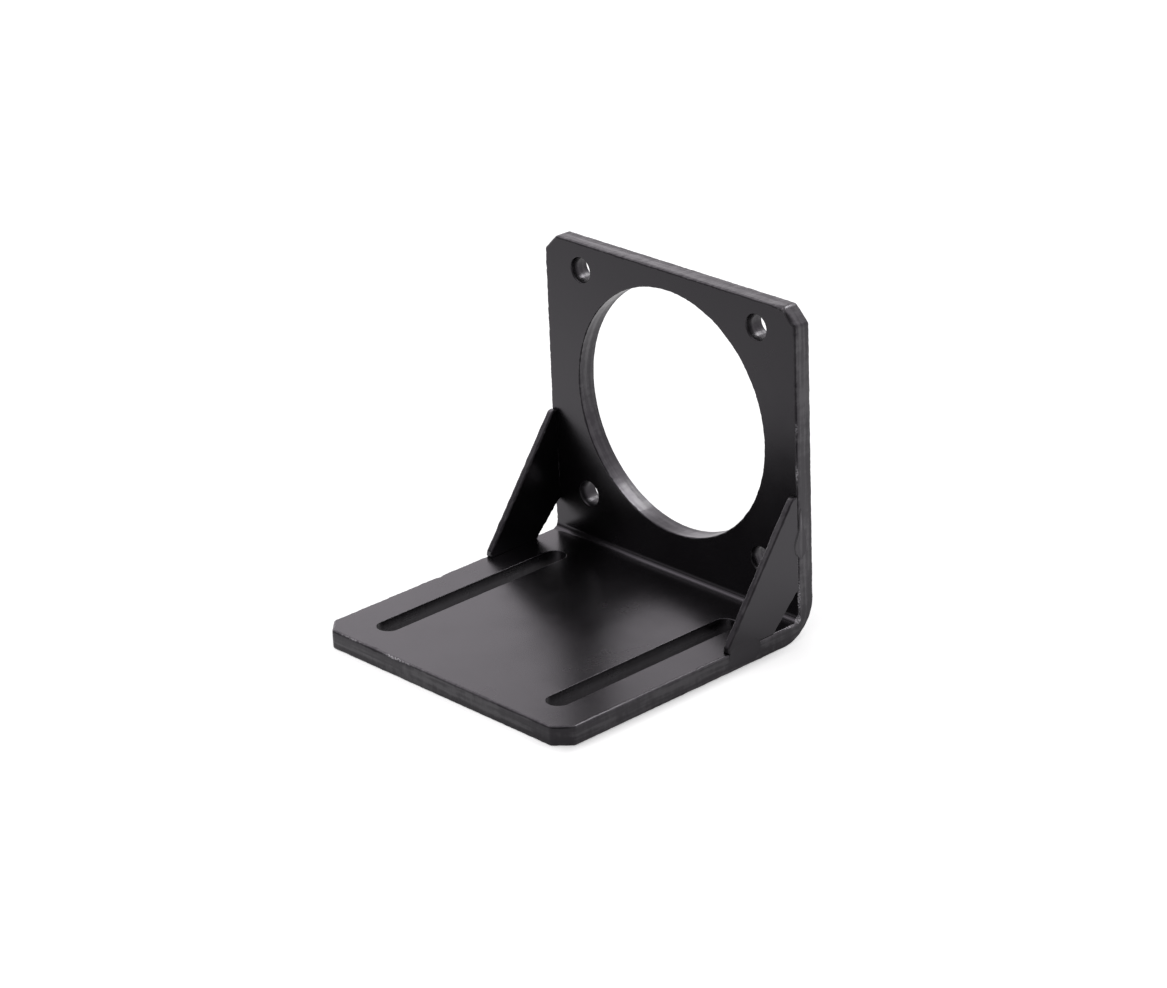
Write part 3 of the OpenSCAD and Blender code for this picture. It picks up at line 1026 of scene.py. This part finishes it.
def mirrored_floor(nodes, x, y):
    """How brightly the floor glows in reflections, from its x and y: painted light that rises from 0.40
    in front of the bracket to 0.76 from its middle backwards. Painted shade halves it at the bracket's
    right side, less so out to lee_reach, and darkens it in the wedge that opens from the right rear
    corner to the camera."""
    side_x, side_y, lee_reach = 0.052, 0.05, 0.045
    corner_x, corner_y = 0.05, 0.043
    camera_x, camera_y, wedge_slope = 0.73, 0.68, 0.7
    aside = nodes.times(nodes.math("ABSOLUTE", x), 0.35)
    # Painted light: the reflected glow rises towards the back.
    lit = nodes.spread(nodes.plus(y, aside), -0.075, 0.0, 0.40, 0.76)
    across = nodes.minus(x, side_x)
    along = nodes.most(nodes.minus(nodes.math("ABSOLUTE", y), side_y), 0.0)
    apart = nodes.math("SQRT", nodes.plus(nodes.times(across, across), nodes.times(along, along)))
    # Painted shade beside the bracket's right side.
    lee = nodes.spread(apart, lee_reach, 0.0)
    right = nodes.minus(x, corner_x)
    behind = nodes.minus(y, corner_y)
    toward = nodes.minus(nodes.times(right, camera_x), nodes.times(behind, camera_y))
    beside = nodes.plus(nodes.times(right, camera_y), nodes.times(behind, camera_x))
    beside = nodes.math("ABSOLUTE", beside)
    # Painted shade in the wedge towards the camera.
    wedge = nodes.spread(nodes.minus(beside, nodes.times(toward, wedge_slope)), 0.0, -0.02)
    return nodes.off(nodes.off(lit, lee, 0.5), wedge)


def contact_shade(nodes, x, y):
    """A strip of shade where the floor meets the right side of the base: 1 from x = 0.045 to 0.049
    and from y = -0.045 to 0.028, and fading beyond."""
    strip = nodes.times(nodes.spread(x, 0.0535, 0.0490),
                        nodes.spread(nodes.math("ABSOLUTE", y), 0.053, 0.045))
    strip = nodes.times(strip, nodes.spread(x, 0.030, 0.045))
    return nodes.times(strip, nodes.spread(y, 0.044, 0.028))


def floor_material(look):
    """Pale floor that takes the bracket's shadow. To the camera and in reflections it also glows a
    little, so that the lit floor reads white and only the shadow shows. The glow is weaker at the
    contact strip, a painted shadow, and, in reflections, where the bracket closes the floor in or
    mirrored_floor dims it, which is painted shade. Reflections also see the floor in a darker
    colour, painted shade as well."""
    shown_glow, contact_loss, closed_in_reach = 0.57, 0.22, 0.03
    material = bpy.data.materials.new("studio_floor")
    material.use_nodes = True
    nodes = Nodes(material.node_tree)
    seen, glossy = nodes.rays()
    _, x, y, _ = nodes.coordinates("Object")
    shade = nodes.add("ShaderNodeAmbientOcclusion", {"Distance": closed_in_reach}, samples=8)
    # Painted shade: the glow in reflections fades where the bracket closes the floor in.
    open_sky = nodes.spread(shade.outputs["AO"], 0.30, 0.75)
    mirrored = nodes.times(glossy, nodes.times(open_sky, mirrored_floor(nodes, x, y)))
    # Painted shadow: the contact strip dims the glow that the camera sees.
    shown = nodes.minus(shown_glow, nodes.times(contact_shade(nodes, x, y), contact_loss))
    # Painted shade: reflections see the floor in its darker mirrored colour.
    tone = nodes.mix("RGBA", glossy, (*look.floor, 1), (*look.floor_mirrored, 1))
    matt = nodes.add("ShaderNodeBsdfDiffuse", {"Color": tone})
    strength = nodes.most(nodes.times(seen, shown), mirrored)
    glow = nodes.add("ShaderNodeEmission", {"Strength": strength})
    both = nodes.add("ShaderNodeAddShader", {0: matt.outputs[0], 1: glow.outputs[0]})
    nodes.add("ShaderNodeOutputMaterial", {"Surface": both.outputs[0]})
    return material


def mirrored_world(nodes, way, x, y, z):
    """How bright reflections see the world in a direction: the white backdrop behind the bracket,
    brighter far to the left, a ceiling in front that starts at z = 0.4, a band of light where the
    two meet and a faint glow over the front horizon. All but the glow dims round the camera's side."""
    camera_side = (0.76, -0.48, 0.44)
    backdrop = nodes.spread(x, -0.60, -0.73, 0.92, 1.55)
    ceiling = nodes.spread(z, 0.40, 0.48, 0.02, 0.72)
    level = nodes.mix("FLOAT", nodes.spread(y, 0.1, -0.35), backdrop, ceiling)
    front_half = nodes.spread(y, 0.1, -0.2)
    band = nodes.times(nodes.times(front_half, nodes.spread(y, -0.5, -0.25)), nodes.spread(z, 0.2, 0.5))
    level = nodes.plus(level, nodes.times(band, 0.9))
    level = nodes.off(level, nodes.spread(nodes.dot(way, camera_side), 0.45, 0.92, 0.0, 0.85))
    horizon = nodes.times(nodes.spread(z, 0.34, 0.22, 0.0, 0.4), front_half)
    return nodes.most(level, horizon)


def studio_world(look):
    """White all round to the camera, and mirrored_world in reflections. Everything else gets the
    soft fill, which is stronger from the front left and above."""
    fill_side = (-0.50, -0.62, 0.60)
    world = bpy.data.worlds.new("studio")
    bpy.context.scene.world = world
    world.use_nodes = True
    nodes = Nodes(world.node_tree)
    seen, glossy = nodes.rays()
    way, x, y, z = nodes.coordinates("Generated")
    fill_light = nodes.times(nodes.spread(nodes.dot(way, fill_side), -0.2, 1.0, 0.72, 1.2), look.fill)
    strength = nodes.mix("FLOAT", glossy, fill_light, mirrored_world(nodes, way, x, y, z))
    tint = nodes.mix("RGBA", glossy, (1, 1, 1, 1), (*look.sky_mirrored, 1))
    background = nodes.add("ShaderNodeBackground", {"Color": tint, "Strength": nodes.most(strength, seen)})
    nodes.add("ShaderNodeOutputWorld", {"Surface": background.outputs[0]})


def soft_box(name, place, aim, size, power):
    """A rectangular area light at a place, turned to a point. It lights no matt surface, so it only
    shows as a gloss."""
    light = bpy.data.lights.new(name, "AREA")
    light.shape = "RECTANGLE"
    light.size, light.size_y = size
    light.energy = power
    box = bpy.data.objects.new(name, light)
    box.location = place
    box.rotation_euler = (Vector(place) - Vector(aim)).to_track_quat("Z", "Y").to_euler()
    box.visible_diffuse = False
    bpy.context.scene.collection.objects.link(box)


def photo_camera(look):
    """The camera at the photograph's viewing angle. It looks back along (sin a cos e, -cos a cos e,
    sin e) from its distance, rolled, and moved across and up its own picture."""
    a, e = look.azimuth, look.elevation
    aim = Vector((0, -0.00165, 0.04))
    back = Vector((math.sin(a) * math.cos(e), -math.cos(a) * math.cos(e), math.sin(e)))
    right = Vector((math.cos(a), math.sin(a), 0))
    up = back.cross(right)
    across = right * math.cos(look.roll) + up * math.sin(look.roll)
    upward = up * math.cos(look.roll) - right * math.sin(look.roll)
    place = aim + back * look.distance - across * look.shift_across - upward * look.shift_up
    data = bpy.data.cameras.new("photo_camera")
    data.sensor_width = 36
    data.lens = look.lens
    data.clip_start = 0.05
    data.clip_end = 50
    camera = bpy.data.objects.new("photo_camera", data)
    camera.matrix_world = Matrix.Translation(place) @ Matrix((across, upward, back)).transposed().to_4x4()
    bpy.context.scene.collection.objects.link(camera)
    bpy.context.scene.camera = camera


# Operators and the panel


class BRACKET_OT_coats(bpy.types.Operator):
    """Makes the black coats of the plate, the gussets and the weld beads"""

    bl_idname = "motor_bracket.coats"
    bl_label = "Coats"

    def execute(self, context):
        look = context.scene.bracket_coat
        coat_skin_group()
        cut_marks_group()
        edge_wear_and_glint_group()
        black_coat("black_coat_on_plate", look, look.roughness, peel_depth=0.013)
        black_coat("black_coat_on_gussets", look, look.gusset_roughness, peel_depth=0.008)
        # On the welds the edge mask is a painted highlight that this share of rubbed coat shows.
        black_coat("black_coat_on_welds", look, look.weld_roughness, peel_depth=0.030, thin=0.24)
        return {"FINISHED"}


class BRACKET_OT_bent_plate(bpy.types.Operator):
    """Builds the bent plate with its round hole, bolt holes and slots"""

    bl_idname = "motor_bracket.bent_plate"
    bl_label = "Bent plate"

    def execute(self, context):
        mesh = bent_plate_mesh(context.scene.bracket_plate)
        finish_piece(mesh, "black_coat_on_plate", "bent_plate")
        return {"FINISHED"}


class BRACKET_OT_gussets(bpy.types.Operator):
    """Builds the left and the right gusset"""

    bl_idname = "motor_bracket.gussets"
    bl_label = "Gussets"

    def execute(self, context):
        scene = context.scene
        for hand, mirrored in HANDS:
            mesh = gusset_mesh(f"{hand}_gusset_finish", scene.bracket_plate, scene.bracket_gusset,
                               mirrored)
            finish_piece(mesh, "black_coat_on_gussets", f"{hand}_gusset")
        return {"FINISHED"}


class BRACKET_OT_weld_beads(bpy.types.Operator):
    """Builds the four weld beads that hold the gussets"""

    bl_idname = "motor_bracket.weld_beads"
    bl_label = "Weld beads"

    def execute(self, context):
        scene = context.scene
        for hand, mirrored in HANDS:
            for seam, build in (("upright", upright_bead), ("base", base_bead)):
                mesh = build(f"{hand}_{seam}_bead", scene.bracket_plate, scene.bracket_weld, mirrored)
                finish_piece(mesh, "black_coat_on_welds", f"{hand}_{seam}_weld")
        return {"FINISHED"}


class BRACKET_OT_studio(bpy.types.Operator):
    """Sets up the pale floor, the soft light and the camera"""

    bl_idname = "motor_bracket.studio"
    bl_label = "Studio"

    def execute(self, context):
        look = context.scene.bracket_studio
        mesh = bpy.data.meshes.new("studio_floor")
        reach = 6.0
        level = -0.00002
        mesh.from_pydata([(-reach, -reach, level), (reach, -reach, level), (reach, reach, level),
                          (-reach, reach, level)], [], [(0, 1, 2, 3)])
        mesh.materials.append(floor_material(look))
        floor = bpy.data.objects.new("studio_floor", mesh)
        context.scene.collection.objects.link(floor)
        studio_world(look)
        soft_box("top_box", place=(0.0, 0.62, 0.80), aim=(0, 0, 0.03), size=(0.42, 0.42),
                 power=look.top_power)
        photo_camera(look)
        context.scene.view_settings.view_transform = "Standard"
        return {"FINISHED"}


class BRACKET_PT_sidebar(bpy.types.Panel):
    """Lists the pieces of the bracket and their sizes"""

    bl_idname = "BRACKET_PT_sidebar"
    bl_label = "Motor mounting bracket"
    bl_space_type = "VIEW_3D"
    bl_region_type = "UI"
    bl_category = "Bracket"

    def draw(self, context):
        for operator in OPERATORS:
            self.layout.operator(operator.bl_idname)
        for name in GROUPS:
            box = self.layout.box()
            group = getattr(context.scene, name)
            box.label(text=type(group).__doc__)
            for key in group.bl_rna.properties.keys():
                if key not in ("rna_type", "name"):
                    box.prop(group, key)


OPERATORS = (BRACKET_OT_coats, BRACKET_OT_bent_plate, BRACKET_OT_gussets, BRACKET_OT_weld_beads,
             BRACKET_OT_studio)
GROUPS = {"bracket_plate": PlateSizes, "bracket_gusset": GussetSizes, "bracket_weld": WeldSizes,
          "bracket_coat": CoatLook, "bracket_studio": StudioLook}


def register():
    for cls in (*GROUPS.values(), *OPERATORS, BRACKET_PT_sidebar):
        bpy.utils.register_class(cls)
    for name, group in GROUPS.items():
        setattr(bpy.types.Scene, name, bpy.props.PointerProperty(type=group))


def unregister():
    for name in GROUPS:
        delattr(bpy.types.Scene, name)
    for cls in (BRACKET_PT_sidebar, *reversed(OPERATORS), *reversed(GROUPS.values())):
        bpy.utils.unregister_class(cls)


def main():
    register()
    bpy.ops.motor_bracket.coats()
    bpy.ops.motor_bracket.bent_plate()
    bpy.ops.motor_bracket.gussets()
    bpy.ops.motor_bracket.weld_beads()
    bpy.ops.motor_bracket.studio()


if __name__ == "__main__":
    main()
